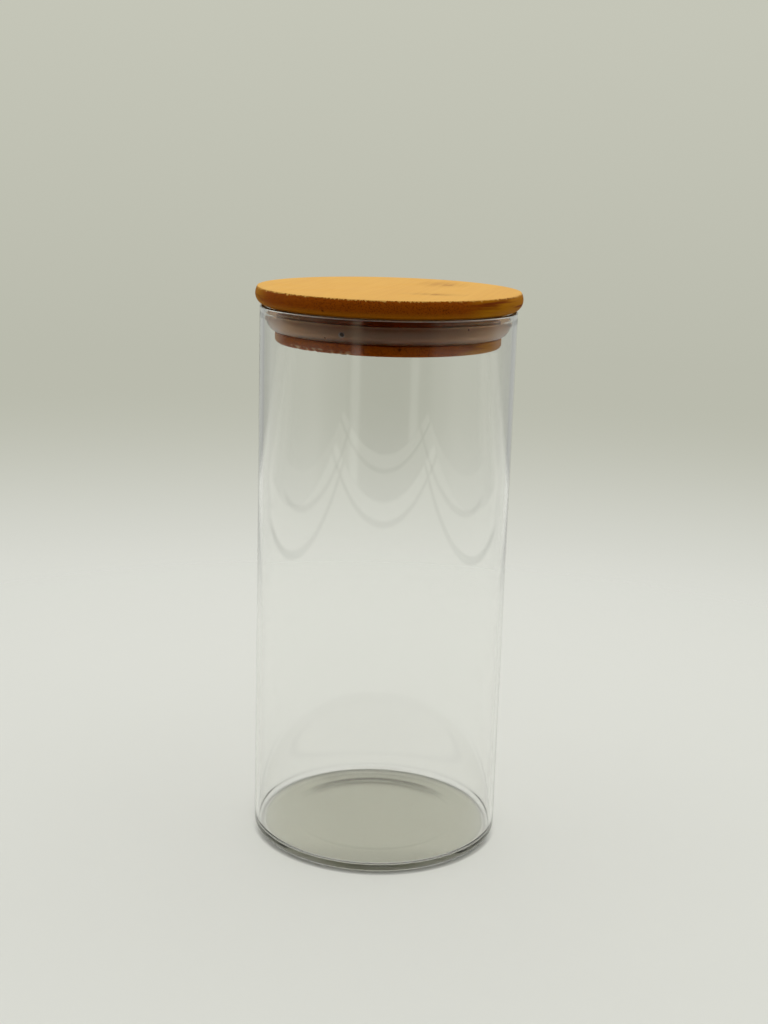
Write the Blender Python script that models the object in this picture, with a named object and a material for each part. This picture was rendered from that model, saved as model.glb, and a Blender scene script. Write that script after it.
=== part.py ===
"""Glass storage jar with a turned bamboo lid and a silicone seal.

The jar stands on the XY plane with its axis on +Z. Lengths are in metres. Every piece is turned
about that axis, so each one is an outline of (radius, height) points spun round it.
"""

import math

import bmesh
import bpy
from mathutils import Vector

MM = 0.001

# Fineness of the facets: sides round the axis, and how far a facet may cut into a rounding
SIDES = 64
FACET_DEPTH = 0.035 * MM
SHARP_ANGLE = math.radians(28)
WELD = 0.0001 * MM

# Glass jar, drawn from tube with a pressed floor and a fire-polished rim
JAR_RADIUS = 50.0 * MM
JAR_HEIGHT = 214.6 * MM
WALL = 1.8 * MM
FLOOR = 2.4 * MM
HEEL_ROUND = 4.0 * MM
INNER_HEEL_ROUND = 4.0 * MM
BEAD_THICKNESS = 2.1 * MM
BEAD_HEIGHT = 2.0 * MM
BEAD_TAPER = 2.4 * MM
BEAD_ROUND = 1.0 * MM
BEAD_EASE = 3.0 * MM

# Push-up in the middle of the floor, which leaves a flat ring to stand on
STANDING_RING = 3.0 * MM
PUSH_UP = 0.6 * MM
PUSH_UP_SLOPE = 10.0 * MM
PUSH_UP_EASE = 12.0 * MM

# Bamboo lid: a round board that stands out past the glass, and a plug that drops into the mouth
OVERHANG = 1.75 * MM
DISC_THICKNESS = 7.0 * MM
UPPER_ROUND = 5.2 * MM
LOWER_ROUND = 4.4 * MM
PLUG_CLEARANCE = 3.9 * MM
PLUG_DEPTH = 14.1 * MM
PLUG_ROUND = 1.5 * MM
LAND = 2.3 * MM
LIP = 4.0 * MM
GROOVE_DEPTH = 2.5 * MM
EDGE_EASE = 0.35 * MM
CORNER_EASE = 0.4 * MM

# Silicone seal: a band round the plug's groove, with a fin that flares up to the bore
BAND = 1.6 * MM
BAND_EASE = 0.4 * MM
FIN = 1.0 * MM
FIN_ROOT = 1.5 * MM
FIN_CLEARANCE = 0.3 * MM

# Clearance between pieces that touch
SEAT_GAP = 0.3 * MM

# Materials: colour, roughness and the shader's other values
GLASS = {"Base Color": (0.96, 0.98, 0.97, 1), "Roughness": 0.02, "IOR": 1.47, "Transmission Weight": 1}
BAMBOO = {"Base Color": (0.66, 0.39, 0.13, 1), "Roughness": 0.5}
SILICONE = {"Base Color": (0.72, 0.69, 0.64, 1), "Roughness": 0.45, "Transmission Weight": 0.35}

# Radii and heights that follow from the sizes above
BORE_RADIUS = JAR_RADIUS - WALL
MOUTH_RADIUS = JAR_RADIUS - BEAD_THICKNESS
RING_INNER_RADIUS = JAR_RADIUS - HEEL_ROUND - STANDING_RING
PUSH_UP_RADIUS = RING_INNER_RADIUS - PUSH_UP_SLOPE
LID_SEAT = JAR_HEIGHT + SEAT_GAP
DISC_RADIUS = JAR_RADIUS + OVERHANG
PLUG_RADIUS = MOUTH_RADIUS - PLUG_CLEARANCE
GROOVE_RADIUS = PLUG_RADIUS - GROOVE_DEPTH
GROOVE_TOP = -LAND
GROOVE_BOTTOM = LIP - PLUG_DEPTH


def clear_scene():
    for item in list(bpy.data.objects):
        bpy.data.objects.remove(item)


def material(name, values):
    """A Principled material with the given socket values."""
    made = bpy.data.materials.new(name)
    made.use_nodes = True
    shader = made.node_tree.nodes["Principled BSDF"]
    for socket, value in values.items():
        shader.inputs[socket].default_value = value
    return made


def arc(centre, reach, rise, start, end):
    """Points (radius, height) along an ellipse from one angle to the other, 0 pointing outwards."""
    depth_share = min(1, FACET_DEPTH / max(reach, rise))
    steps = max(1, math.ceil(abs(end - start) / (2 * math.acos(1 - depth_share))))
    angles = [start + (end - start) * step / steps for step in range(steps + 1)]
    return [(centre[0] + reach * math.cos(turn), centre[1] + rise * math.sin(turn)) for turn in angles]


def rounded(corners):
    """Points through (radius, height, rounding) corners, each rounded by an arc tangent to its sides.

    A corner given without a rounding stays sharp. A rounding is limited by the shorter of its sides.
    """
    points = []
    for index, corner in enumerate(corners):
        here = Vector(corner[:2])
        if len(corner) == 2:
            points.append(tuple(here))
            continue
        before = Vector(corners[index - 1][:2]) - here
        after = Vector(corners[(index + 1) % len(corners)][:2]) - here
        half = before.angle(after) / 2
        rounding = min(corner[2], math.tan(half) * min(before.length, after.length) / 2)
        before.normalize()
        after.normalize()
        centre = here + (before + after).normalized() * rounding / math.sin(half)
        inward = here - centre
        middle = math.atan2(inward.y, inward.x)
        spread = math.pi / 2 - half
        side = math.copysign(1, inward.x * before.y - inward.y * before.x)
        points += arc(centre, rounding, rounding, middle + side * spread, middle - side * spread)
    return points


def turned(name, outline, finish, closed=False, parent=None):
    """The solid that an outline sweeps about Z. An open outline starts and ends on the axis."""
    form = bmesh.new()
    points = [form.verts.new((radius, 0, height)) for radius, height in outline]
    pairs = list(zip(points, points[1:]))
    if closed:
        pairs.append((points[-1], points[0]))
    edges = [form.edges.new(pair) for pair in pairs]
    bmesh.ops.spin(
        form, geom=points + edges, cent=(0, 0, 0), axis=(0, 0, 1), angle=math.tau, steps=SIDES, use_merge=True
    )
    bmesh.ops.remove_doubles(form, verts=form.verts, dist=WELD)
    bmesh.ops.recalc_face_normals(form, faces=form.faces)
    mesh = bpy.data.meshes.new(name)
    form.to_mesh(mesh)
    form.free()
    mesh.materials.append(finish)
    mesh.shade_smooth()
    mesh.set_sharp_from_angle(angle=SHARP_ANGLE)
    piece = bpy.data.objects.new(name, mesh)
    piece.parent = parent
    bpy.context.collection.objects.link(piece)
    return piece


def jar_outline():
    """From the axis under the floor, out round the heel, over the rim and down the bore to the axis."""
    bead_foot = JAR_HEIGHT - BEAD_HEIGHT
    bore_top = bead_foot - BEAD_TAPER
    underside = [
        (0, PUSH_UP),
        (PUSH_UP_RADIUS, PUSH_UP, PUSH_UP_EASE),
        (RING_INNER_RADIUS, 0, PUSH_UP_EASE),
    ]
    outside = [
        (JAR_RADIUS, 0, HEEL_ROUND),
        (JAR_RADIUS, JAR_HEIGHT, BEAD_ROUND),
    ]
    inside = [
        (MOUTH_RADIUS, JAR_HEIGHT, BEAD_ROUND),
        (MOUTH_RADIUS, bead_foot, BEAD_EASE),
        (BORE_RADIUS, bore_top, BEAD_EASE),
        (BORE_RADIUS, FLOOR, INNER_HEEL_ROUND),
    ]
    floor = [
        (RING_INNER_RADIUS, FLOOR, PUSH_UP_EASE),
        (PUSH_UP_RADIUS, FLOOR + PUSH_UP, PUSH_UP_EASE),
        (0, FLOOR + PUSH_UP),
    ]
    return rounded(underside + outside + inside + floor)


def disc_side():
    """The board's bulging edge, from its crisp top edge down to its flat underside."""
    upper_rise = DISC_THICKNESS - LOWER_ROUND
    top_angle = math.asin(min(1, upper_rise / UPPER_ROUND))
    upper = arc((DISC_RADIUS - UPPER_ROUND, LOWER_ROUND), UPPER_ROUND, UPPER_ROUND, top_angle, 0)
    lower = arc((DISC_RADIUS - LOWER_ROUND, LOWER_ROUND), LOWER_ROUND, LOWER_ROUND, 0, -math.pi / 2)
    return upper + lower[1:]


def lid_outline():
    """From the axis on top, round the board's edge, then in along the underside and down the plug.

    Heights are measured from the board's underside, where it sits over the rim.
    """
    side = disc_side()
    board = [
        (0, DISC_THICKNESS),
        (*side[0], EDGE_EASE),
        *side[1:],
    ]
    plug = [
        (PLUG_RADIUS, 0, CORNER_EASE),
        (PLUG_RADIUS, GROOVE_TOP, EDGE_EASE),
        (GROOVE_RADIUS, GROOVE_TOP, CORNER_EASE),
        (GROOVE_RADIUS, GROOVE_BOTTOM, CORNER_EASE),
        (PLUG_RADIUS, GROOVE_BOTTOM, EDGE_EASE),
        (PLUG_RADIUS, -PLUG_DEPTH, PLUG_ROUND),
        (0, -PLUG_DEPTH),
    ]
    return rounded(board + plug)


def seal_outline():
    """The band in the groove, and the fin that leaves its foot and flares up to just inside the mouth."""
    inner = GROOVE_RADIUS + SEAT_GAP
    foot = inner + BAND
    top = GROOVE_TOP - SEAT_GAP
    bottom = GROOVE_BOTTOM + SEAT_GAP
    reach = MOUTH_RADIUS - FIN_CLEARANCE - foot
    tip_height = top - FIN / 2
    rise = tip_height - bottom
    centre = (foot, tip_height)
    fin_outside = arc(centre, reach, rise, -math.pi / 2, 0)
    tip = arc((foot + reach - FIN / 2, tip_height), FIN / 2, FIN / 2, 0, math.pi)
    fin_inside = arc(centre, reach - FIN, rise - FIN_ROOT, 0, -math.pi / 2)
    band = [
        (foot, top, BAND_EASE),
        (inner, top, BAND_EASE),
        (inner, bottom, BAND_EASE),
    ]
    return rounded(fin_outside + tip[1:-1] + fin_inside + band)


def main():
    clear_scene()
    lid_axis = bpy.data.objects.new("lid_axis", None)
    lid_axis.location.z = LID_SEAT
    bpy.context.collection.objects.link(lid_axis)
    turned("glass_jar", jar_outline(), material("glass", GLASS))
    turned("bamboo_lid", lid_outline(), material("bamboo", BAMBOO), parent=lid_axis)
    turned("seal_ring", seal_outline(), material("silicone", SILICONE), closed=True, parent=lid_axis)


if __name__ == "__main__":
    main()
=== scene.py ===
"""Glass storage jar with a bamboo lid and a silicone seal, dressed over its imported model.

The three pieces are turned about Z from outlines of (radius, height) points, given their finishes, and
stood on a pale studio table. Lengths are in metres.
"""

import math

import bmesh
import bpy
from bpy.props import FloatProperty, FloatVectorProperty, IntProperty, PointerProperty
from mathutils import Matrix, Vector


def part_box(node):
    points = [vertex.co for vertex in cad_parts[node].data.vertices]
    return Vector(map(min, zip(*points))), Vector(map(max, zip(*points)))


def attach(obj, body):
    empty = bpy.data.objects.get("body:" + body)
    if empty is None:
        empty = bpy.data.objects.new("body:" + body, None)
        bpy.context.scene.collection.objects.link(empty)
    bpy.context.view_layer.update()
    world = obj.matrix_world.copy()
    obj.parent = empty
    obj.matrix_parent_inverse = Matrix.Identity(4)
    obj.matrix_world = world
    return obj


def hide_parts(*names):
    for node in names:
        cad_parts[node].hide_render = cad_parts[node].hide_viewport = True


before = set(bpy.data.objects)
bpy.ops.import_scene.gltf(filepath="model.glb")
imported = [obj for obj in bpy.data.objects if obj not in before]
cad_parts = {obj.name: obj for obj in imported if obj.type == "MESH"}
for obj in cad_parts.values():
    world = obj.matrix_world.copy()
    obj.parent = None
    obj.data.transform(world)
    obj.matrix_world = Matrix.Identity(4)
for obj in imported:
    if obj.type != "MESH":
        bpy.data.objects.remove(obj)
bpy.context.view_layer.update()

bl_info = {
    "name": "Glass storage jar",
    "version": (1, 0, 0),
    "blender": (4, 5, 0),
    "location": "3D View > Sidebar > Jar",
    "description": "Builds a glass storage jar with a bamboo lid and a silicone seal",
    "category": "Object",
}

MM = 0.001
PER_MM = 1000

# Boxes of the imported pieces, which set the sizes that the jar is known by
GLASS_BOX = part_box("glass_jar")
LID_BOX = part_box("bamboo_lid")

# Fineness of the turned outlines, and the radius of the circle that they are swept along
ARC_STEP = math.radians(7)
SUPPORT = 0.12 * MM
WELD = 0.0001 * MM
PATH_RADIUS = 10 * MM

# Gap between the board and the rim that it rests on
REST_GAP = 0.05 * MM

# Room round the table that the glass reflects: brightness by azimuth from the front in degrees
ROOM = (
    (-180, 0.50),
    (-165, 0.48),
    (-155, 0.45),
    (-146, 0.37),
    (-136, 0.30),
    (-126, 0.42),
    (-95, 0.45),
    (-66, 0.42),
    (-58, 0.25),
    (-44, 0.14),
    (-33, 0.14),
    (-30, 0.70),
    (-25, 0.70),
    (-22, 0.05),
    (-14, 0.0),
    (10, 0.0),
    (16, 0.02),
    (36, 0.05),
    (44, 0.32),
    (58, 0.38),
    (66, 0.50),
    (100, 0.52),
    (112, 0.42),
    (126, 0.31),
    (136, 0.34),
    (146, 0.41),
    (165, 0.48),
    (180, 0.50),
)

# Tint of that room's front and sides by the upward part of the direction
LEVELS = (
    (-0.16, (1.0, 1.0, 1.0)),
    (-0.130, (1.0, 1.0, 1.0)),
    (-0.124, (0.45, 0.38, 0.27)),
    (-0.117, (0.45, 0.38, 0.27)),
    (-0.113, (1.0, 0.85, 0.6)),
    (-0.104, (1.0, 0.85, 0.6)),
    (-0.101, (0.1, 0.1, 0.1)),
    (-0.09, (0.1, 0.1, 0.1)),
)

# Dark knuckles on the lid's face: centre and reach in millimetres, and strength
KNUCKLES = (
    ((21.5, 23.0), (14.0, 17.0), 0.35),
    ((23.0, 20.0), (6.0, 8.0), 0.6),
    ((17.0, -22.0), (17.0, 8.0), 0.35),
    ((17.5, -23.0), (9.0, 4.0), 0.7),
)

# Chips along the plug's lower edge: azimuth of their middle from the front in degrees, their reach from it
# and in from the plug's side, and the fades that shape them and end them
CHIPPED = -37
CHIPPED_REACH = 16 * MM
CHIPPED_WIDTH = 2 * MM
CHIP_FADE = (0.46, 0.60)
CHIPPED_END = (1.0, 0.8)

# Nicks in the lid's edge and plug: azimuth from the front in degrees, height, radius and reach in millimetres
NICKS = (
    (-27.6, 216.9, 51.5, (0.9, 0.9, 0.7)),
    (9.7, 216.5, 51.5, (0.7, 0.7, 0.5)),
    (-26.5, 213.9, 44.0, (0.6, 0.6, 0.9)),
    (5.5, 203.7, 44.0, (0.9, 0.9, 1.1)),
)

# Specks and a bubble in the silicone: azimuth, height, radius, reach and the colour that paints them
SPECKS = (
    (-20.7, 208.3, 47.1, 1.45, "halo"),
    (-20.4, 208.6, 47.1, 1.1, "speck"),
    (-29.2, 206.8, 46.3, 0.4, "speck"),
    (37.1, 211.0, 47.5, 0.4, "speck"),
)

# Each fade below starts at its first value and is whole at its second, and one of four values runs from its
# third to its fourth. Places on the pieces and the table that a fade or a line names are in millimetres.

# Smears and dust that handling leaves
SMEAR_FADE = (0.45, 0.7)
DUST_FINENESS = 9.0
DUST_FADE = (0.35, 0.65, 0.6, 1.0)

# Glass: its shader, its smears, the faint draw marks along its wall, and its tint for light off matt
# surfaces, a painted shadow that deepens the shade that the glass casts on the table
GLASS_SHADER = {"IOR": 1.5, "Transmission Weight": 1.0}
GLASS_MARKS = {"Scale": 0.045, "Amount": 0.03}
DRAW_SCALE = 0.06
DRAW_STRETCH = 0.15
DRAW_DEPTH = 0.02 * MM
GLASS_SHADOW_TINT = (0.94, 0.94, 0.94)

# Floor of the glass: fades of its tint, partly its own and partly painted shade of the table under it, across
# its edge and over its height, and of the painted shade near its front, its back and its edge, and that
# shade's colour
FLOOR_EDGE = (0.3, -0.3)
FLOOR_TOP = (8.0, 6.0)
FLOOR_FOOT = (1.4, 1.8)
DARKER_ENDS = (28.0, 38.0)
DARKER_EDGE = (-1.2, 0.0)
DARKER_SHARE = 0.15
FLOOR_SHADE_COLOUR = (0.03, 0.02, 0.01)

# Painted shade: a dark arc round the back of the push-up, where it bends the light: radius, fades across it
# and towards the back, and strength
BEND_RADIUS = 34.2
BEND_FADE = (3.2, 0.3)
BEND_BACK = (14.0, 33.0)
BEND_SHARE = 0.95

# Bamboo: its shader, its handling marks and its relief
BAMBOO_SHADER = {"Specular IOR Level": 0.02}
BAMBOO_MARKS = {"Scale": 0.06, "Amount": 0.12}
BAMBOO_ROUGHNESS = 0.55
BAMBOO_DEPTH = 0.06 * MM

# Cane: stretch of its streaks, fades of its pores, its cut ends and its grain, the shares that colours take,
# and how the knuckles and nicks fade
CANE_STRETCH = 0.04
PORE_FADE = (0.50, 0.16)
CUT_END_FADE = (0.5, 0.72)
GRAIN_FADE = (0.35, 0.7)
GRAIN_SHARE = 0.5
STRIP_SHARE = 0.35
PORE_SHARE = 0.65
CHIP_SHARE = 0.6
KNUCKLE_STREAKS = (0.3, 0.6, 0.4, 1.0)
KNUCKLE_CORE = 0.0
NICK_CORE = 0.2

# Reddish streaks round the lid's left and right edge
FLANK_STRETCH = 0.05
FLANK_SCALE = 0.8
FLANK_FADE = (0.45, 0.72)

# Bands of painted light and shade round the lid by height over the board's underside: fade on top, fade
# below, share and colour
LIGHT_AND_SHADE_BANDS = (
    # Painted bounce light on the board's lower rounding
    ((3.4, 1.2), (-0.5, 0.0), 0.45, "flank"),
    # Painted shade on the plug's neck under the board
    ((-0.1, -0.4), (-3.2, -2.9), 0.6, "dark_wood_and_shade"),
    # Painted light on the board's underside where it meets the rim
    ((0.5, 0.1), (-0.2, -0.1), 0.8, "pale"),
)

# Ragged line where the sanded top meets the edge: its spikes, and fades by height over the top
SPIKE_SCALE = 1.15
SPIKE_STRETCH = 0.2
SPIKE_HEIGHT = 2.4
RAGGED_FADE = (-0.42, -0.2)
FLAT_FADE = (-0.12, -0.04)

# Silicone: its shader, its handling marks, and the faint clouds in it
SILICONE_SHADER = {
    "IOR": 1.41,
    "Transmission Weight": 0.95,
    "Subsurface Weight": 0.3,
    "Subsurface Radius": (1.0, 0.8, 0.6),
    "Subsurface Scale": 2 * MM,
    "Specular IOR Level": 0.3,
}
SILICONE_MARKS = {"Scale": 0.1, "Amount": 0.1}
SILICONE_ROUGHNESS = 0.3
CLOUD_SCALE = 0.12
CLOUD_FADE = (0.35, 0.7)
CLOUD_SHARE = 0.93
CLOUD_DEPTH = 0.02 * MM
SPECK_CORE = 0.6

# Light that runs along inside the glass: turns that cost nothing, and the share of each colour that a later
# turn leaves
FREE_TURNS = 3.0
LEFT_SHARES = (0.80, 0.80, 0.77)

# Table: its size, its drop below the jar's foot, its shader, its faint mottle, and its fade for the camera
TABLE_RADIUS = 1.6
TABLE_SIDES = 128
TABLE_DROP = 0.1 * MM
TABLE_SHADER = {"Roughness": 0.8, "Specular IOR Level": 0.1}
MOTTLE_SCALE = 0.01
MOTTLE_SHARE = 0.985
TABLE_FADE = (220.0, 520.0, 1.0, 0.0)

# Painted shadow lines near the table's front and sides that the glass reflects
FRONT_LINE = -606.0
FRONT_LINE_FADE = (14.0, 8.0)
SIDE_LINE = 484.0
SIDE_LINE_FADE = (16.0, 8.0)
SIDE_LINE_END = (320.0, 200.0)
SHADOW_LINE_COLOUR = (0.05, 0.05, 0.045)

# Edges of the table that the glass reflects: its front, the back of its middle, its sides up to the back, and
# the end of its back corners
FRONT_EDGE = (-690.0, -670.0)
BACK_EDGE = (520.0, 220.0)
BACK_SIDES = (200.0, 300.0)
SIDE_EDGE = (640.0, 620.0)
SIDE_BACK = (200.0, 400.0)
FAR_EDGE = (700.0, 560.0)

# Painted contact shadow under the front of the heel: radius, fades across it and towards the front, share and
# colour
CONTACT_RADIUS = 49.0
CONTACT_FADE = (2.4, 0.8)
CONTACT_FRONT = (-4.0, -26.0)
CONTACT_SHARE = 0.5
CONTACT_SHADOW_COLOUR = (0.10, 0.10, 0.085)

# Backdrop: fades by the upward part of the direction, down to the table and up to its high part
BACKDROP_FOOT = (-0.152, -0.284)
BACKDROP_RISE = (-0.13, 0.09)

# Studio light: brightness from front to back, drift across, and the light from overhead and from below
SIDE_LIGHT = (-0.85, -0.10, 0.08, 0.95)
SIDE_DRIFT = 0.03
DOME_FADE = (0.45, 0.75)
DOME_LIGHT = 0.96
BELOW_FADE = (-0.05, 0.05)
BELOW_SHARE = 0.42

# Room: fades by azimuth of its levels and of the backdrop behind it, and by height into the studio light
LEVELS_FADE = (115.0, 100.0)
BEHIND_FADE = (160.0, 170.0)
ROOM_TOP = (0.15, 0.5)

# Camera: lens in millimetres, nearest distance, place, and pitch, roll and yaw in degrees
LENS = 52.11
NEAREST = 0.01
CAMERA_PLACE = (0, -577.15 * MM, 272.34 * MM)
CAMERA_TURNS = (13.596, 1.734, 0.045)

# Soft lamp overhead, and how many times light may turn
LAMP_PLACE = (0.1, 0.2, 1.4)
LAMP_AIM = (0, 0, 0.1)
LAMP_SIZE = 1.5
LAMP_POWER = 5.4
BOUNCES = 24


def length(name, description, default):
    return FloatProperty(name=name, description=description, default=default, unit="LENGTH", precision=5)


def colour(name, description, default):
    return FloatVectorProperty(
        name=name, description=description, default=default, subtype="COLOR", size=3, min=0, max=1
    )


class GlassSizes(bpy.types.PropertyGroup):
    radius: length("Radius", "Outer radius of the glass", GLASS_BOX[1].x)
    height: length("Height", "Height of the rim over the table", GLASS_BOX[1].z)
    wall: length("Wall", "Thickness of the wall", 1.8 * MM)
    floor: length("Floor", "Thickness of the floor", 2.4 * MM)
    heel: length("Heel rounding", "Outer rounding between wall and floor", 2.8 * MM)
    inner_heel: length("Inner heel rounding", "Inner rounding between wall and floor", 4.0 * MM)
    bead_thickness: length("Rim thickness", "Thickness of the fire-polished rim", 2.1 * MM)
    bead_height: length("Rim height", "Height over which the rim keeps its thickness", 2.0 * MM)
    bead_taper: length("Rim taper", "Height over which the rim thins to the wall", 2.4 * MM)
    bead_round: length("Rim rounding", "Rounding of the rim's two edges", 0.65 * MM)
    bead_ease: length("Rim easing", "Rounding of the shallow bends under the rim", 3.0 * MM)
    standing_ring: length("Standing ring", "Width of the flat ring that the jar stands on", 4.2 * MM)
    push_up: length("Push-up", "Rise of the middle of the floor", 0.6 * MM)
    push_up_slope: length("Push-up slope", "Width over which the floor rises", 10.0 * MM)
    push_up_ease: length("Push-up easing", "Rounding of the push-up's shallow bends", 12.0 * MM)
    sides: IntProperty(name="Sides", description="Sides of the turned glass", default=288, min=16)
    heel_reach: length("Inner heel reach", "Width of the inner heel beside the flat floor", 2.7 * MM)
    tint: colour("Tint", "Colour that the glass lets through", (0.99, 0.992, 0.986))
    # Floor tint: partly the heavier floor's own colour, partly painted shade of the table under the jar
    floor_tint_and_shade: colour("Floor tint", "Colour that the heavier floor lets through", (0.745, 0.745, 0.66))


class LidSizes(bpy.types.PropertyGroup):
    radius: length("Radius", "Radius of the board", LID_BOX[1].x)
    top: length("Top", "Height of the board's top over the table", LID_BOX[1].z)
    thickness: length("Thickness", "Thickness of the board", LID_BOX[1].z - GLASS_BOX[1].z - REST_GAP)
    upper_round: length("Upper rounding", "Bulge of the board's edge above its widest line", 5.2 * MM)
    lower_round: length("Lower rounding", "Bulge of the board's edge below its widest line", 4.4 * MM)
    plug_radius: length("Plug radius", "Radius of the plug in the mouth", 44.0 * MM)
    bottom: length("Bottom", "Height of the plug's underside over the table", LID_BOX[0].z)
    plug_round: length("Plug rounding", "Rounding of the plug's lower edge", 1.5 * MM)
    lip: length("Lip", "Height of the plug below the seal's groove", 4.0 * MM)
    groove: length("Groove", "Depth of the seal's groove", 2.5 * MM)
    groove_height: length("Groove height", "Height of the seal's groove", 7.4 * MM)
    edge_ease: length("Edge easing", "Rounding of the crisp edges", 0.35 * MM)
    corner_ease: length("Corner easing", "Rounding of the inner corners", 0.4 * MM)
    chip_depth: length("Chip depth", "Depth of the chips along the worn edges", 0.28 * MM)
    chip_size: length("Chip size", "Spacing of the chips along the worn edges", 1.7 * MM)
    sides: IntProperty(name="Sides", description="Sides of the turned board", default=384, min=16)
    grain_turn: FloatProperty(
        name="Grain turn",
        description="Turn of the cane strips about Z",
        default=math.radians(-14),
        subtype="ANGLE",
    )
    face: colour("Face", "Long grain on the sanded top", (0.73, 0.415, 0.10))
    face_dark: colour("Face streaks", "Darker streaks in the top", (0.68, 0.36, 0.085))
    end: colour("End grain", "Cut ends of the cane at the front and back", (0.29, 0.062, 0.001))
    # This colour also paints the shade on the plug's neck under the board
    dark_wood_and_shade: colour("Pores", "Open pores in the cut ends", (0.07, 0.010, 0.0005))
    # The flank colour also paints bounce light on the board's lower rounding
    flank: colour("Flank", "Long grain on the edge at the left and right", (0.40, 0.15, 0.0015))
    flank_dark: colour("Flank streaks", "Reddish streaks in the long grain of the edge", (0.17, 0.03, 0.001))
    # The bare wood colour also paints light on the board's underside where it meets the rim
    pale: colour("Bare wood", "Fresh wood where an edge is chipped", (0.62, 0.42, 0.22))
    knuckle: colour("Knuckles", "Dark knuckles of the cane", (0.30, 0.12, 0.03))


class SealSizes(bpy.types.PropertyGroup):
    band: length("Band", "Thickness of the band in the groove", 1.6 * MM)
    band_ease: length("Band easing", "Rounding of the band's edges", 0.4 * MM)
    fin: length("Fin", "Thickness of the fin", 1.0 * MM)
    fin_root: length("Fin root", "Thickness of the fin where it leaves the band", 1.5 * MM)
    fin_clearance: length("Fin clearance", "Gap between the fin and the mouth", 0.3 * MM)
    sides: IntProperty(name="Sides", description="Sides of the turned seal", default=288, min=16)
    body: colour("Silicone", "Colour of the silicone", (0.77, 0.50, 0.28))
    speck: colour("Specks", "Colour of specks in the silicone", (0.03, 0.007, 0.003))
    halo: colour("Halo", "Colour of the rim of a bubble in the silicone", (0.95, 0.9, 0.82))


class StageSettings(bpy.types.PropertyGroup):
    seat_gap: length("Seat gap", "Clearance between pieces that touch", 0.3 * MM)
    table: colour("Table", "Colour of the table", (0.69, 0.697, 0.64))
    backdrop: colour("Backdrop", "Colour of the backdrop behind the table", (0.491, 0.497, 0.418))
    backdrop_high: colour("High backdrop", "Colour of the backdrop above the jar", (0.555, 0.561, 0.477))
    room: colour("Room", "Tint of the room round the table, which the glass reflects", (0.98, 1.0, 0.94))


class Nodes:
    """Short calls that add nodes to a tree and wire them up."""

    def __init__(self, tree):
        self.tree = tree

    def add(self, kind, inputs=None, **settings):
        made = self.tree.nodes.new(kind)
        for name, value in settings.items():
            setattr(made, name, value)
        for socket, value in (inputs or {}).items():
            self.feed(made.inputs[socket], value)
        return made

    def feed(self, socket, value):
        if isinstance(value, bpy.types.NodeSocket):
            self.tree.links.new(value, socket)
        else:
            socket.default_value = value

    def math(self, operation, *values, clamp=False):
        made = self.add("ShaderNodeMath", operation=operation, use_clamp=clamp)
        for socket, value in zip(made.inputs, values):
            self.feed(socket, value)
        return made.outputs[0]

    def vector(self, operation, *values):
        made = self.add("ShaderNodeVectorMath", operation=operation)
        for socket, value in zip(made.inputs, values):
            self.feed(socket, value)
        return made.outputs["Value" if operation in ("LENGTH", "DISTANCE", "DOT_PRODUCT") else "Vector"]

    def scaled(self, vector, factor):
        return self.add("ShaderNodeVectorMath", {0: vector, "Scale": factor}, operation="SCALE").outputs[0]

    def parts(self, vector):
        return self.add("ShaderNodeSeparateXYZ", {0: vector}).outputs

    def joined(self, x=0.0, y=0.0, z=0.0):
        return self.add("ShaderNodeCombineXYZ", {0: x, 1: y, 2: z}).outputs[0]

    def ramp(self, value, low, high, start=0.0, end=1.0, smooth=True):
        """The value's place between low and high, from start to end."""
        shape = "SMOOTHSTEP" if smooth else "LINEAR"
        made = self.add("ShaderNodeMapRange", {"Value": value}, interpolation_type=shape)
        for socket, limit in (("From Min", low), ("From Max", high), ("To Min", start), ("To Max", end)):
            self.feed(made.inputs[socket], limit)
        return made.outputs[0]

    def line(self, value, place, fade):
        """A mask that is whole where the value is near the place."""
        return self.ramp(self.math("ABSOLUTE", self.math("SUBTRACT", value, place)), *fade)

    def product(self, first, *others):
        for other in others:
            first = self.math("MULTIPLY", first, other)
        return first

    def noise(self, vector, scale=1.0, detail=2.0, roughness=0.5):
        given = {"Vector": vector, "Scale": scale, "Detail": detail, "Roughness": roughness}
        return self.add("ShaderNodeTexNoise", given).outputs[0]

    def stops(self, value, table):
        """A colour that runs through the table's (value, grey or colour) rows."""
        low, high = table[0][0], table[-1][0]
        made = self.add("ShaderNodeValToRGB", {"Fac": self.ramp(value, low, high, smooth=False)})
        points = made.color_ramp.elements
        points.remove(points[0])
        for index, (place, tone) in enumerate(table):
            share = (place - low) / (high - low)
            point = points.new(share) if index else points[0]
            point.position = share
            point.color = rgba(tone if isinstance(tone, tuple) else (tone,) * 3)
        return made.outputs[0]

    def mix(self, share, first, second, blend="MIX"):
        made = self.add("ShaderNodeMix", data_type="RGBA", blend_type=blend)
        colours = [socket for socket in made.inputs if socket.type == "RGBA"]
        self.feed(made.inputs[0], share)
        self.feed(colours[0], first)
        self.feed(colours[1], second)
        return [socket for socket in made.outputs if socket.type == "RGBA"][0]


def around(azimuth, height, radius):
    """A point on the jar, at an azimuth in degrees from the front."""
    turn = math.radians(azimuth)
    return (radius * math.sin(turn), -radius * math.cos(turn), height)


def rgba(values):
    return (*values, 1.0)


def group_tree(name, kind, sockets):
    """A node tree with the given (name, socket type, default) inputs and (name, socket type) outputs."""
    tree = bpy.data.node_groups.new(name, kind)
    for entry in sockets:
        made = tree.interface.new_socket(
            name=entry[0], in_out="INPUT" if len(entry) == 3 else "OUTPUT", socket_type=entry[1]
        )
        if len(entry) == 3 and entry[2] is not None:
            made.default_value = entry[2]
    return tree


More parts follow.
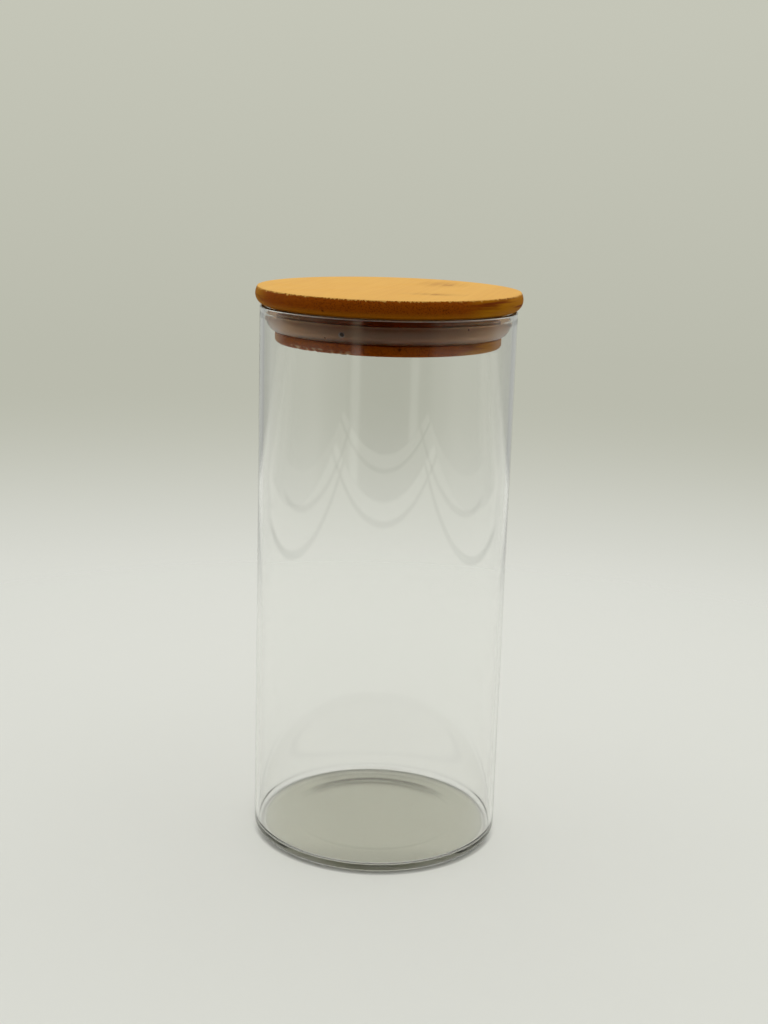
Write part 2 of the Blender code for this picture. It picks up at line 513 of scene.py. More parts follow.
def turning_tree():
    """Geometry nodes that turn an outline in the XZ plane about Z and chip its worn edges."""
    tree = group_tree(
        "Turned piece",
        "GeometryNodeTree",
        (
            ("Geometry", "NodeSocketGeometry", None),
            ("Sides", "NodeSocketInt", 64),
            ("Path Radius", "NodeSocketFloat", PATH_RADIUS),
            ("Weld", "NodeSocketFloat", WELD),
            ("Chip Depth", "NodeSocketFloat", 0.0),
            ("Chip Size", "NodeSocketFloat", 4 * MM),
            ("Chip Centre", "NodeSocketVector", (0, 0, 0)),
            ("Chip Reach", "NodeSocketFloat", CHIPPED_REACH),
            ("Finish", "NodeSocketMaterial", None),
            ("Geometry", "NodeSocketGeometry"),
        ),
    )
    nodes = Nodes(tree)
    given = nodes.add("NodeGroupInput").outputs
    x, _, z = nodes.parts(nodes.add("GeometryNodeInputPosition").outputs[0])
    drawn = nodes.joined(nodes.math("SUBTRACT", x, given["Path Radius"]), nodes.math("MULTIPLY", z, -1.0))
    outline = nodes.add("GeometryNodeSetPosition", {"Geometry": given["Geometry"], "Position": drawn})
    profile = nodes.add("GeometryNodeMeshToCurve", {0: outline.outputs[0]})
    circle = {"Resolution": given["Sides"], "Radius": given["Path Radius"]}
    path = nodes.add("GeometryNodeCurvePrimitiveCircle", circle)
    sweep = {"Curve": path.outputs[0], "Profile Curve": profile.outputs[0]}
    swept = nodes.add("GeometryNodeCurveToMesh", sweep)
    merge = {"Geometry": swept.outputs[0], "Distance": given["Weld"]}
    whole = nodes.add("GeometryNodeMergeByDistance", merge)

    wear = nodes.add("GeometryNodeInputNamedAttribute", {"Name": "wear"}, data_type="FLOAT").outputs[0]
    here = nodes.add("GeometryNodeInputPosition").outputs[0]
    fine = nodes.scaled(here, nodes.math("DIVIDE", 1.0, given["Chip Size"]))
    flaking = {"Vector": fine, "W": 3.0, "Scale": 1.0, "Detail": 3.0}
    flakes = nodes.add("ShaderNodeTexNoise", flaking, noise_dimensions="4D").outputs[0]
    away = nodes.math("DIVIDE", nodes.vector("DISTANCE", here, given["Chip Centre"]), given["Chip Reach"])
    wear = nodes.math("MULTIPLY", wear, nodes.ramp(away, *CHIPPED_END))
    chip = nodes.math("MULTIPLY", nodes.ramp(flakes, *CHIP_FADE), wear)
    depth = nodes.math("MULTIPLY", chip, given["Chip Depth"])
    normal = nodes.add("GeometryNodeInputNormal").outputs[0]
    inward = nodes.scaled(normal, nodes.math("MULTIPLY", depth, -1.0))
    marked = nodes.add(
        "GeometryNodeStoreNamedAttribute",
        {"Geometry": whole.outputs[0], "Name": "chip", "Value": chip},
        data_type="FLOAT",
        domain="POINT",
    )
    chipped = nodes.add("GeometryNodeSetPosition", {"Geometry": marked.outputs[0], "Offset": inward})
    real = nodes.add("GeometryNodeRealizeInstances", {0: chipped.outputs[0]})
    finish = {"Geometry": real.outputs[0], "Material": given["Finish"]}
    dressed = nodes.add("GeometryNodeSetMaterial", finish)
    nodes.add("NodeGroupOutput", {"Geometry": dressed.outputs[0]})
    return tree


def arc(centre, reach, rise, start, end):
    """Points (radius, height) along an ellipse from one angle to the other, 0 pointing outwards."""
    steps = max(2, math.ceil(abs(end - start) / ARC_STEP))
    angles = [start + (end - start) * step / steps for step in range(steps + 1)]
    return [(centre[0] + reach * math.cos(turn), centre[1] + rise * math.sin(turn)) for turn in angles]


def rounded(corners):
    """Points through (radius, height, rounding) corners, with a support point on each side of a rounding."""
    points = []
    for index, corner in enumerate(corners):
        here = Vector(corner[:2])
        if len(corner) == 2:
            points.append(tuple(here))
            continue
        before = Vector(corners[index - 1][:2]) - here
        after = Vector(corners[(index + 1) % len(corners)][:2]) - here
        half = before.angle(after) / 2
        rooms = (before.length / 2, after.length / 2)
        rounding = min(corner[2], math.tan(half) * min(rooms))
        before.normalize()
        after.normalize()
        centre = here + (before + after).normalized() * rounding / math.sin(half)
        inward = here - centre
        middle = math.atan2(inward.y, inward.x)
        spread = math.pi / 2 - half
        side = math.copysign(1, inward.x * before.y - inward.y * before.x)
        support = rounding / math.tan(half) + SUPPORT
        if support < rooms[0]:
            points.append(tuple(here + before * support))
        points += arc(centre, rounding, rounding, middle + side * spread, middle - side * spread)
        if support < rooms[1]:
            points.append(tuple(here + after * support))
    return points


def glass_outline(glass):
    """From the axis under the floor, out round the heel, over the rim and down the bore to the axis."""
    bore = glass.radius - glass.wall
    mouth = glass.radius - glass.bead_thickness
    bead_foot = glass.height - glass.bead_height
    ring = glass.radius - glass.heel - glass.standing_ring
    raised = ring - glass.push_up_slope
    return rounded(
        [
            (0, glass.push_up),
            (raised, glass.push_up, glass.push_up_ease),
            (ring, 0, glass.push_up_ease),
            (glass.radius, 0, glass.heel),
            (glass.radius, glass.height, glass.bead_round),
            (mouth, glass.height, glass.bead_round),
            (mouth, bead_foot, glass.bead_ease),
            (bore, bead_foot - glass.bead_taper, glass.bead_ease),
            (bore, glass.floor, glass.inner_heel),
            (ring, glass.floor, glass.push_up_ease),
            (raised, glass.floor + glass.push_up, glass.push_up_ease),
            (0, glass.floor + glass.push_up),
        ]
    )


def lid_outline(lid):
    """From the axis on top, round the board's edge, then in along the underside and down the plug."""
    seat = lid.top - lid.thickness
    widest = seat + lid.lower_round
    top_angle = math.asin(min(1, (lid.thickness - lid.lower_round) / lid.upper_round))
    upper = arc((lid.radius - lid.upper_round, widest), lid.upper_round, lid.upper_round, top_angle, 0)
    lower = arc((lid.radius - lid.lower_round, widest), lid.lower_round, lid.lower_round, 0, -math.pi / 2)
    groove_radius = lid.plug_radius - lid.groove
    groove_bottom = lid.bottom + lid.lip
    groove_top = groove_bottom + lid.groove_height
    return rounded(
        [
            (0, lid.top),
            (*upper[0], lid.edge_ease),
            *upper[1:],
            *lower[1:],
            (lid.plug_radius, seat, lid.corner_ease),
            (lid.plug_radius, groove_top, lid.edge_ease),
            (groove_radius, groove_top, lid.corner_ease),
            (groove_radius, groove_bottom, lid.corner_ease),
            (lid.plug_radius, groove_bottom, lid.edge_ease),
            (lid.plug_radius, lid.bottom, lid.plug_round),
            (0, lid.bottom),
        ]
    )


def seal_outline(seal, lid, glass, gap):
    """The band in the groove, and the fin that leaves its foot and flares up to just inside the mouth."""
    inner = lid.plug_radius - lid.groove + gap
    foot = inner + seal.band
    bottom = lid.bottom + lid.lip + gap
    top = bottom + lid.groove_height - 2 * gap
    reach = glass.radius - glass.bead_thickness - seal.fin_clearance - foot
    tip_height = top - seal.fin / 2
    rise = tip_height - bottom
    centre = (foot, tip_height)
    outside = arc(centre, reach, rise, -math.pi / 2, 0)
    tip = arc((foot + reach - seal.fin / 2, tip_height), seal.fin / 2, seal.fin / 2, 0, math.pi)
    inside = arc(centre, reach - seal.fin, rise - seal.fin_root, 0, -math.pi / 2)
    band = [(foot, top, seal.band_ease), (inner, top, seal.band_ease), (inner, bottom, seal.band_ease)]
    return rounded(outside + tip[1:-1] + inside + band)


def turned(name, outline, finish, sides, closed=False, worn=None, chips=None):
    """A plain mesh that the turning tree makes of an outline. worn gives a point's share of the chips."""
    count = len(outline)
    edges = [(start, start + 1) for start in range(count - 1)] + ([(count - 1, 0)] if closed else [])
    drawn = bpy.data.meshes.new(name + "_outline")
    drawn.from_pydata([(radius, 0, height) for radius, height in outline], edges, [])
    wear = drawn.attributes.new("wear", "FLOAT", "POINT")
    wear.data.foreach_set("value", [worn(*point) if worn else 0.0 for point in outline])
    source = bpy.data.objects.new(name + "_outline", drawn)
    bpy.context.scene.collection.objects.link(source)
    tree = bpy.data.node_groups.get("Turned piece") or turning_tree()
    lathe = source.modifiers.new("Turned piece", "NODES")
    lathe.node_group = tree
    given = {"Sides": sides, "Finish": finish, **(chips or {})}
    for socket in tree.interface.items_tree:
        if socket.in_out == "INPUT" and socket.name in given:
            lathe[socket.identifier] = given[socket.name]
    evaluated = source.evaluated_get(bpy.context.evaluated_depsgraph_get())
    mesh = bpy.data.meshes.new_from_object(evaluated)
    mesh.name = name
    bpy.data.objects.remove(source)
    bpy.data.meshes.remove(drawn)
    form = bmesh.new()
    form.from_mesh(mesh)
    bmesh.ops.remove_doubles(form, verts=form.verts, dist=WELD)
    bmesh.ops.recalc_face_normals(form, faces=form.faces)
    form.to_mesh(mesh)
    form.free()
    mesh.shade_smooth()
    piece = bpy.data.objects.new(name, mesh)
    bpy.context.scene.collection.objects.link(piece)
    return piece


def shader_group(name, sockets, fill):
    """The named shader node group, made once. fill wires it up."""
    found = bpy.data.node_groups.get(name)
    if found:
        return found
    tree = group_tree(name, "ShaderNodeTree", sockets)
    nodes = Nodes(tree)
    fill(nodes, nodes.add("NodeGroupInput").outputs, nodes.add("NodeGroupOutput").inputs)
    return tree


def spot_group():
    """A soft-edged spot of a given size round a centre, as a mask."""

    def fill(nodes, given, out):
        offset = nodes.vector("SUBTRACT", given["Vector"], given["Centre"])
        reach = nodes.vector("LENGTH", nodes.vector("DIVIDE", offset, given["Size"]))
        nodes.feed(out["Mask"], nodes.ramp(reach, 1.0, given["Core"]))

    sockets = (
        ("Vector", "NodeSocketVector", (0, 0, 0)),
        ("Centre", "NodeSocketVector", (0, 0, 0)),
        ("Size", "NodeSocketVector", (1, 1, 1)),
        ("Core", "NodeSocketFloat", 0.5),
        ("Mask", "NodeSocketFloat"),
    )
    return shader_group("Spot", sockets, fill)


def handling_group():
    """Faint smears and dust that handling leaves, as a mask."""

    def fill(nodes, given, out):
        smears = nodes.noise(given["Vector"], given["Scale"], detail=4.0, roughness=0.6)
        dust = nodes.noise(nodes.scaled(given["Vector"], DUST_FINENESS), given["Scale"])
        both = nodes.product(nodes.ramp(smears, *SMEAR_FADE), nodes.ramp(dust, *DUST_FADE), given["Amount"])
        nodes.feed(out["Mask"], both)

    sockets = (
        ("Vector", "NodeSocketVector", (0, 0, 0)),
        ("Scale", "NodeSocketFloat", 0.05),
        ("Amount", "NodeSocketFloat", 1.0),
        ("Mask", "NodeSocketFloat"),
    )
    return shader_group("Handling marks", sockets, fill)


def bamboo_group():
    """Cane laid in strips along Y: pores and streaks, a tone for each strip, and where its cut ends show."""

    def fill(nodes, given, out):
        x, y, z = nodes.parts(given["Vector"])
        laid = {"Vector": given["Vector"], "Scale": given["Pores"], "Randomness": 1.0}
        pores = nodes.add("ShaderNodeTexVoronoi", laid).outputs["Distance"]
        nodes.feed(out["Pores"], nodes.ramp(pores, *PORE_FADE))
        lengthwise = nodes.joined(x, nodes.math("MULTIPLY", y, CANE_STRETCH), z)
        nodes.feed(out["Streaks"], nodes.noise(lengthwise, given["Streaks"], detail=4.0, roughness=0.6))
        strip = nodes.math("DIVIDE", nodes.math("ADD", x, given["Offset"]), given["Strip"])
        toned = nodes.add("ShaderNodeTexWhiteNoise", {"W": nodes.math("FLOOR", strip)}, noise_dimensions="1D")
        nodes.feed(out["Tone"], toned.outputs[0])
        reach = nodes.vector("LENGTH", nodes.joined(x, y))
        facing = nodes.math("DIVIDE", nodes.math("ABSOLUTE", y), reach)
        nodes.feed(out["Cut end"], nodes.ramp(facing, *CUT_END_FADE))

    sockets = (
        ("Vector", "NodeSocketVector", (0, 0, 0)),
        ("Pores", "NodeSocketFloat", 1.65),
        ("Streaks", "NodeSocketFloat", 0.6),
        ("Strip", "NodeSocketFloat", 19.0),
        ("Offset", "NodeSocketFloat", 1.3),
        ("Pores", "NodeSocketFloat"),
        ("Streaks", "NodeSocketFloat"),
        ("Tone", "NodeSocketFloat"),
        ("Cut end", "NodeSocketFloat"),
    )
    return shader_group("Cane strips", sockets, fill)


def new_material(name, values):
    """A material with the given shader values, its nodes, its shader, and its places in millimetres."""
    made = bpy.data.materials.new(name)
    made.use_nodes = True
    nodes = Nodes(made.node_tree)
    shader = made.node_tree.nodes["Principled BSDF"]
    for socket, value in values.items():
        shader.inputs[socket].default_value = value
    place = nodes.add("ShaderNodeTexCoord").outputs["Object"]
    millimetres = nodes.add("ShaderNodeMapping", {"Vector": place, "Scale": (PER_MM,) * 3}).outputs[0]
    return made, nodes, shader, millimetres


def use_group(nodes, tree, inputs):
    """The mask or masks that a shader group puts out for the given inputs."""
    made = nodes.add("ShaderNodeGroup", node_tree=tree)
    for socket, value in inputs.items():
        nodes.feed(made.inputs[socket], value)
    return made.outputs


def spot(nodes, vector, centre, size, core):
    """A mask round a centre, whole within the core's share of the size."""
    given = {"Vector": vector, "Centre": centre, "Size": size, "Core": core}
    return use_group(nodes, spot_group(), given)["Mask"]


def handled(nodes, place, marks):
    """A mask of handling marks, of the given scale and amount."""
    return use_group(nodes, handling_group(), {"Vector": place, **marks})["Mask"]


def bumped(nodes, shader, height, distance):
    relief = nodes.add("ShaderNodeBump", {"Height": height, "Distance": distance})
    nodes.feed(shader.inputs["Normal"], relief.outputs[0])


def shifted(limits, height):
    """A fade's limits, moved up by a height."""
    return [height + limit for limit in limits]


def glass_material(glass):
    """Clear glass, greyer in the floor by its own tint and by painted shade, which darkens to its edge, front
    and back and along the back of its push-up.
    """
    made, nodes, shader, place = new_material("clear_glass", GLASS_SHADER)
    nodes.feed(shader.inputs["Roughness"], handled(nodes, place, GLASS_MARKS))
    x, y, z = nodes.parts(place)
    edge = (glass.radius - glass.wall - glass.heel_reach) * PER_MM
    reach = nodes.vector("LENGTH", nodes.joined(x, y))
    inside = nodes.ramp(reach, *shifted(FLOOR_EDGE, edge))
    low = nodes.product(inside, nodes.ramp(z, *FLOOR_TOP), nodes.ramp(z, *FLOOR_FOOT))
    ends = nodes.ramp(nodes.math("ABSOLUTE", y), *DARKER_ENDS)
    darker = nodes.math("ADD", ends, nodes.ramp(reach, *shifted(DARKER_EDGE, edge)))
    # Painted shade: a dark arc along the back of the push-up
    arc_shade = nodes.product(nodes.line(reach, BEND_RADIUS, BEND_FADE), nodes.ramp(y, *BEND_BACK), BEND_SHARE)
    shade = nodes.math("MAXIMUM", nodes.math("MULTIPLY", darker, DARKER_SHARE), arc_shade)
    # Painted shade: the floor's tint, partly its own and partly shade of the table under it, darkens near its
    # ends and edge
    floor_tint_and_shade = nodes.mix(shade, rgba(glass.floor_tint_and_shade), rgba(FLOOR_SHADE_COLOUR))
    tint = nodes.mix(low, rgba(glass.tint), floor_tint_and_shade)
    # Painted shadow: light that has left a matt surface is tinted darker, which deepens the glass's shadow on
    # the table
    indirect = nodes.math("GREATER_THAN", nodes.add("ShaderNodeLightPath").outputs["Diffuse Depth"], 0.5)
    nodes.feed(shader.inputs["Base Color"], nodes.mix(indirect, tint, rgba(GLASS_SHADOW_TINT), "MULTIPLY"))
    draw = nodes.noise(nodes.joined(x, y, nodes.math("MULTIPLY", z, DRAW_STRETCH)), DRAW_SCALE, detail=1.0)
    bumped(nodes, shader, draw, DRAW_DEPTH)
    return made


def bamboo_face(nodes, lid, cane, x, y):
    """Colour of the sanded top: long grain, a tone for each strip, and dark knuckles."""
    grain = nodes.math("MULTIPLY", nodes.ramp(cane["Streaks"], *GRAIN_FADE), GRAIN_SHARE)
    tone = nodes.math("ADD", grain, nodes.math("MULTIPLY", cane["Tone"], STRIP_SHARE))
    face = nodes.mix(tone, rgba(lid.face), rgba(lid.face_dark))
    flat = nodes.joined(x, y)
    knuckles = 0.0
    for centre, size, share in KNUCKLES:
        mark = nodes.math("MULTIPLY", spot(nodes, flat, (*centre, 0), (*size, 1), KNUCKLE_CORE), share)
        knuckles = nodes.math("MAXIMUM", knuckles, mark)
    streaked = nodes.math("MULTIPLY", knuckles, nodes.ramp(cane["Streaks"], *KNUCKLE_STREAKS))
    return nodes.mix(streaked, face, rgba(lid.knuckle))


def bamboo_edge(nodes, lid, cane, place):
    """Colour of the edge and plug: pores in the cut ends, streaks at the sides, bands of painted light and
    shade, nicks and chips.
    """
    x, y, z = nodes.parts(place)
    ends = nodes.mix(nodes.math("MULTIPLY", cane["Pores"], PORE_SHARE), rgba(lid.end), rgba(lid.dark_wood_and_shade))
    across, depth = (nodes.math("MULTIPLY", value, FLANK_STRETCH) for value in (x, y))
    along = nodes.joined(across, depth, z)
    streaks = nodes.ramp(nodes.noise(along, FLANK_SCALE, detail=3.0), *FLANK_FADE)
    flank = nodes.mix(streaks, rgba(lid.flank), rgba(lid.flank_dark))
    edge = nodes.mix(cane["Cut end"], flank, ends)
    seat = (lid.top - lid.thickness) * PER_MM
    # Bands of painted light and shade: bounce light on the board's lower rounding, shade on the neck, light
    # under the board
    for upper, lower, share, paint in LIGHT_AND_SHADE_BANDS:
        fades = nodes.ramp(z, *shifted(upper, seat)), nodes.ramp(z, *shifted(lower, seat))
        edge = nodes.mix(nodes.product(*fades, share), edge, rgba(getattr(lid, paint)))
    for azimuth, height, radius, size in NICKS:
        mark = spot(nodes, place, around(azimuth, height, radius), size, NICK_CORE)
        edge = nodes.mix(mark, edge, rgba(lid.dark_wood_and_shade))
    chip = nodes.add("ShaderNodeAttribute", attribute_name="chip").outputs["Fac"]
    return nodes.mix(nodes.math("MULTIPLY", chip, CHIP_SHARE), edge, rgba(lid.pale))


def bamboo_material(lid):
    """Bamboo with a pale sanded top that meets the darker edge in a ragged line."""
    made, nodes, shader, place = new_material("bamboo", BAMBOO_SHADER)
    x, y, z = nodes.parts(place)
    turn = {"Vector": place, "Rotation": (0, 0, -lid.grain_turn)}
    cane = use_group(nodes, bamboo_group(), {"Vector": nodes.add("ShaderNodeMapping", turn).outputs[0]})
    upright = nodes.joined(x, y, nodes.math("MULTIPLY", z, SPIKE_STRETCH))
    spikes = nodes.math("SUBTRACT", nodes.noise(upright, SPIKE_SCALE, roughness=0.6), 0.5)
    level = nodes.math("ADD", z, nodes.math("MULTIPLY", spikes, SPIKE_HEIGHT))
    top = lid.top * PER_MM
    ragged = nodes.ramp(level, *shifted(RAGGED_FADE, top))
    sanded = nodes.math("MAXIMUM", ragged, nodes.ramp(z, *shifted(FLAT_FADE, top)))
    edge = bamboo_edge(nodes, lid, cane, place)
    nodes.feed(shader.inputs["Base Color"], nodes.mix(sanded, edge, bamboo_face(nodes, lid, cane, x, y)))
    marks = handled(nodes, place, BAMBOO_MARKS)
    nodes.feed(shader.inputs["Roughness"], nodes.math("ADD", BAMBOO_ROUGHNESS, marks))
    cut = nodes.math("SUBTRACT", cane["Cut end"], sanded, clamp=True)
    pits = nodes.math("MULTIPLY", cane["Pores"], cut)
    bumped(nodes, shader, nodes.math("SUBTRACT", cane["Streaks"], pits), BAMBOO_DEPTH)
    return made


def silicone_material(seal):
    """Translucent silicone with faint clouds, a bubble and specks."""
    made, nodes, shader, place = new_material("silicone", SILICONE_SHADER)
    cloud = nodes.noise(place, CLOUD_SCALE, detail=3.0)
    clouded = [value * CLOUD_SHARE for value in seal.body]
    body = nodes.mix(nodes.ramp(cloud, *CLOUD_FADE), rgba(seal.body), rgba(clouded))
    for azimuth, height, radius, size, paint in SPECKS:
        mark = spot(nodes, place, around(azimuth, height, radius), (size,) * 3, SPECK_CORE)
        body = nodes.mix(mark, body, rgba(getattr(seal, paint)))
    nodes.feed(shader.inputs["Base Color"], body)
    marks = handled(nodes, place, SILICONE_MARKS)
    nodes.feed(shader.inputs["Roughness"], nodes.math("ADD", SILICONE_ROUGHNESS, marks))
    bumped(nodes, shader, cloud, CLOUD_DEPTH)
    return made


class JAR_OT_glass(bpy.types.Operator):
    """Turn the glass jar, with its pushed-up floor and fire-polished rim"""

    bl_idname = "jar.glass"
    bl_label = "Glass"

    def execute(self, context):
        glass = context.scene.jar_glass
        piece = turned("jar_glass", glass_outline(glass), glass_material(glass), glass.sides)
        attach(piece, "jar")
        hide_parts("glass_jar")
        return {"FINISHED"}


class JAR_OT_lid(bpy.types.Operator):
    """Turn the bamboo lid, with the plug and the groove that holds the seal"""

    bl_idname = "jar.lid"
    bl_label = "Lid"

    def execute(self, context):
        lid = context.scene.jar_lid

        def worn(radius, height):
            outside = radius > lid.plug_radius - CHIPPED_WIDTH
            return 1.0 if outside and height < lid.bottom + lid.plug_round else 0.0

        centre = around(CHIPPED, lid.bottom, lid.plug_radius)
        piece = turned(
            "lid_bamboo",
            lid_outline(lid),
            bamboo_material(lid),
            lid.sides,
            worn=worn,
            chips={"Chip Depth": lid.chip_depth, "Chip Size": lid.chip_size, "Chip Centre": centre},
        )
        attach(piece, "lid")
        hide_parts("bamboo_lid")
        return {"FINISHED"}


class JAR_OT_seal(bpy.types.Operator):
    """Turn the silicone seal, a band with a fin that flares up to the mouth"""

    bl_idname = "jar.seal"
    bl_label = "Seal"

    def execute(self, context):
        scene = context.scene
        seal = scene.jar_seal
        outline = seal_outline(seal, scene.jar_lid, scene.jar_glass, scene.jar_stage.seat_gap)
        piece = turned("lid_seal", outline, silicone_material(seal), seal.sides, closed=True)
        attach(piece, "lid")
        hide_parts("seal_ring")
        return {"FINISHED"}


def weakened(nodes, rays):
    """The share of each colour left of light that has run along inside the glass, turning at its surfaces."""
    turns = nodes.math("MAXIMUM", nodes.math("SUBTRACT", rays["Glossy Depth"], FREE_TURNS), 0.0)
    return nodes.joined(*(nodes.math("POWER", share, turns) for share in LEFT_SHARES))


def table_material(stage):
    """A pale mottled top with a painted contact shadow, that fades for the camera, and that the glass
    reflects with edges and painted shadow lines.
    """
    made, nodes, shader, place = new_material("table", TABLE_SHADER)
    x, y, _ = nodes.parts(place)
    across = nodes.math("ABSOLUTE", x)
    reach = nodes.vector("LENGTH", nodes.joined(x, y))
    rays = nodes.add("ShaderNodeLightPath").outputs
    mirrored = nodes.math("GREATER_THAN", rays["Glossy Depth"], 0.5)

    mottled = [value * MOTTLE_SHARE for value in stage.table]
    paint = nodes.mix(nodes.noise(place, MOTTLE_SCALE, detail=3.0), rgba(stage.table), rgba(mottled))
    # Painted shadow lines near the table's front and sides, shown only in reflections
    side_shadow_line = nodes.product(nodes.line(across, SIDE_LINE, SIDE_LINE_FADE), nodes.ramp(y, *SIDE_LINE_END))
    lines = nodes.math("MAXIMUM", nodes.line(y, FRONT_LINE, FRONT_LINE_FADE), side_shadow_line)
    paint = nodes.mix(nodes.product(lines, mirrored), paint, rgba(SHADOW_LINE_COLOUR))
    # Painted contact shadow on the table under the front of the heel
    contact_shadow = nodes.line(reach, CONTACT_RADIUS, CONTACT_FADE)
    contact_shadow = nodes.product(contact_shadow, nodes.ramp(y, *CONTACT_FRONT), CONTACT_SHARE)
    paint = nodes.mix(contact_shadow, paint, rgba(CONTACT_SHADOW_COLOUR))
    nodes.feed(shader.inputs["Base Color"], nodes.mix(1.0, paint, weakened(nodes, rays), "MULTIPLY"))

    back = nodes.math("MAXIMUM", nodes.ramp(y, *BACK_EDGE), nodes.ramp(across, *BACK_SIDES))
    sides = nodes.math("MAXIMUM", nodes.ramp(across, *SIDE_EDGE), nodes.ramp(y, *SIDE_BACK))
    whole = nodes.product(nodes.ramp(y, *FRONT_EDGE), back, sides, nodes.ramp(y, *FAR_EDGE))
    shown = nodes.add("ShaderNodeMix", {0: mirrored, 2: nodes.ramp(reach, *TABLE_FADE), 3: whole})
    nodes.feed(shader.inputs["Alpha"], shown.outputs[0])
    return made


def add_table(stage):
    """A wide round table top under the jar."""
    form = bmesh.new()
    bmesh.ops.create_circle(form, cap_ends=True, segments=TABLE_SIDES, radius=TABLE_RADIUS)
    mesh = bpy.data.meshes.new("table")
    form.to_mesh(mesh)
    form.free()
    mesh.materials.append(table_material(stage))
    table = bpy.data.objects.new("table", mesh)
    table.location.z = -TABLE_DROP
    bpy.context.scene.collection.objects.link(table)


def studio_light(nodes, x, y, z):
    """Soft light that is brightest from behind and overhead, and weakest from the front and below."""
    side = nodes.math("ADD", nodes.ramp(y, *SIDE_LIGHT), nodes.math("MULTIPLY", x, SIDE_DRIFT))
    dome = nodes.add("ShaderNodeMix", {0: nodes.ramp(z, *DOME_FADE), 2: side, 3: DOME_LIGHT}).outputs[0]
    below = nodes.math("MULTIPLY", side, BELOW_SHARE)
    share = nodes.add("ShaderNodeMix", {0: nodes.ramp(z, *BELOW_FADE), 2: below, 3: dome}).outputs[0]
    return nodes.joined(share, share, share)


def reflected_room(nodes, stage, x, y, z, glow, backdrop):
    """The room that the glass reflects, with the studio light above it and the backdrop behind."""
    azimuth = nodes.math("ARCTAN2", x, nodes.math("MULTIPLY", y, -1.0))
    azimuth = nodes.math("MULTIPLY", azimuth, 180 / math.pi)
    turned_away = nodes.math("ABSOLUTE", azimuth)
    room = nodes.mix(1.0, nodes.stops(azimuth, ROOM), rgba(stage.room), "MULTIPLY")
    levelled = nodes.mix(1.0, room, nodes.stops(z, LEVELS), "MULTIPLY")
    room = nodes.mix(nodes.ramp(turned_away, *LEVELS_FADE), room, levelled)
    room = nodes.mix(nodes.ramp(z, *ROOM_TOP), room, glow)
    return nodes.mix(nodes.ramp(turned_away, *BEHIND_FADE), room, backdrop)


def add_world(stage):
    """A backdrop for the camera and the glass, a room that the glass reflects, and soft light elsewhere."""
    world = bpy.data.worlds.new("studio")
    bpy.context.scene.world = world
    world.use_nodes = True
    nodes = Nodes(world.node_tree)
    shown = world.node_tree.nodes["Background"]
    x, y, z = nodes.parts(nodes.add("ShaderNodeTexCoord").outputs["Generated"])
    low = nodes.mix(nodes.ramp(z, *BACKDROP_FOOT), rgba(stage.backdrop), rgba(stage.table))
    backdrop = nodes.mix(nodes.ramp(z, *BACKDROP_RISE, smooth=False), low, rgba(stage.backdrop_high))
    glow = studio_light(nodes, x, y, z)
    room = reflected_room(nodes, stage, x, y, z, glow, backdrop)

    rays = nodes.add("ShaderNodeLightPath").outputs
    mirrored = nodes.math("GREATER_THAN", rays["Glossy Depth"], 0.5)
    view = nodes.mix(mirrored, backdrop, room)
    nodes.feed(shown.inputs["Color"], nodes.mix(1.0, view, weakened(nodes, rays), "MULTIPLY"))
    light = nodes.add("ShaderNodeBackground", {"Color": glow})
    direct = nodes.math("MAXIMUM", rays["Is Camera Ray"], rays["Is Transmission Ray"])
    direct = nodes.math("MAXIMUM", direct, rays["Is Glossy Ray"])
    seen = nodes.math("MULTIPLY", direct, nodes.math("LESS_THAN", rays["Diffuse Depth"], 0.5))
    both = nodes.add("ShaderNodeMixShader", {0: seen, 1: light.outputs[0], 2: shown.outputs[0]})
    nodes.feed(world.node_tree.nodes["World Output"].inputs["Surface"], both.outputs[0])


def add_lamp():
    lamp = bpy.data.lights.new("overhead", "AREA")
    lamp.size = LAMP_SIZE
    lamp.energy = LAMP_POWER
    holder = bpy.data.objects.new("overhead", lamp)
    holder.location = LAMP_PLACE
    holder.rotation_euler = (Vector(LAMP_AIM) - Vector(LAMP_PLACE)).to_track_quat("-Z", "Y").to_euler()
    bpy.context.scene.collection.objects.link(holder)


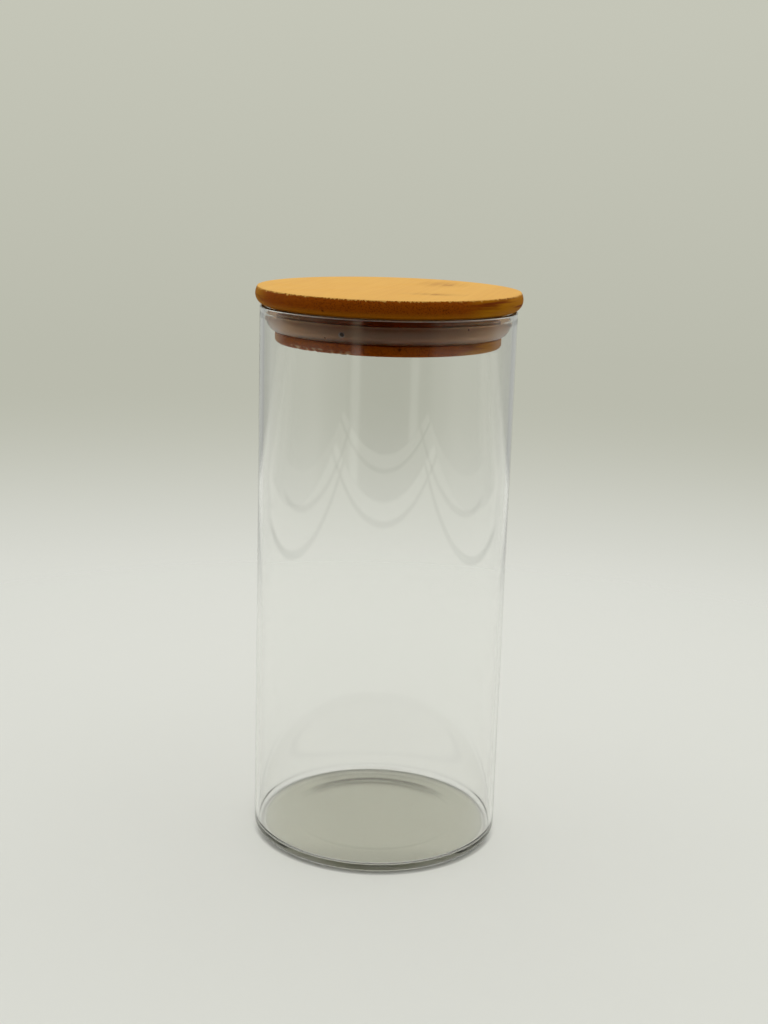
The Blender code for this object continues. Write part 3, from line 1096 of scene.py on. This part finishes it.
def add_camera():
    camera = bpy.data.cameras.new("camera")
    camera.lens = LENS
    camera.clip_start = NEAREST
    pitch, roll, yaw = (math.radians(angle) for angle in CAMERA_TURNS)
    ahead = Vector((math.sin(yaw) * math.cos(pitch), math.cos(yaw) * math.cos(pitch), -math.sin(pitch)))
    level = Vector((math.cos(yaw), -math.sin(yaw), 0))
    upright = level.cross(ahead)
    right = level * math.cos(roll) + upright * math.sin(roll)
    up = upright * math.cos(roll) - level * math.sin(roll)
    holder = bpy.data.objects.new("camera", camera)
    axes = Matrix((right, up, -ahead)).transposed()
    holder.matrix_world = Matrix.Translation(CAMERA_PLACE) @ axes.to_4x4()
    bpy.context.scene.collection.objects.link(holder)
    bpy.context.scene.camera = holder


class JAR_OT_stage(bpy.types.Operator):
    """Set the table, the backdrop, the lamp and the camera"""

    bl_idname = "jar.stage"
    bl_label = "Stage"

    def execute(self, context):
        stage = context.scene.jar_stage
        add_camera()
        add_table(stage)
        add_world(stage)
        add_lamp()
        context.scene.view_settings.view_transform = "Standard"
        for limit in ("max_bounces", "glossy_bounces", "transmission_bounces", "transparent_max_bounces"):
            setattr(context.scene.cycles, limit, BOUNCES)
        context.scene.cycles.blur_glossy = 0.0
        return {"FINISHED"}


class JAR_PT_panel(bpy.types.Panel):
    """The jar's sizes, colours and pieces"""

    bl_label = "Glass storage jar"
    bl_space_type = "VIEW_3D"
    bl_region_type = "UI"
    bl_category = "Jar"

    def draw(self, context):
        for group, operator in GROUPS.values():
            settings = getattr(context.scene, group)
            box = self.layout.box()
            for name in settings.__annotations__:
                box.prop(settings, name)
            box.operator(operator)


GROUPS = {
    GlassSizes: ("jar_glass", "jar.glass"),
    LidSizes: ("jar_lid", "jar.lid"),
    SealSizes: ("jar_seal", "jar.seal"),
    StageSettings: ("jar_stage", "jar.stage"),
}
CLASSES = (*GROUPS, JAR_OT_glass, JAR_OT_lid, JAR_OT_seal, JAR_OT_stage, JAR_PT_panel)


def register():
    for each in CLASSES:
        bpy.utils.register_class(each)
    for group, (name, _) in GROUPS.items():
        setattr(bpy.types.Scene, name, PointerProperty(type=group))


def unregister():
    for name, _ in GROUPS.values():
        delattr(bpy.types.Scene, name)
    for each in reversed(CLASSES):
        bpy.utils.unregister_class(each)


def main():
    register()
    bpy.ops.jar.stage()
    bpy.ops.jar.glass()
    bpy.ops.jar.lid()
    bpy.ops.jar.seal()


if __name__ == "__main__":
    main()
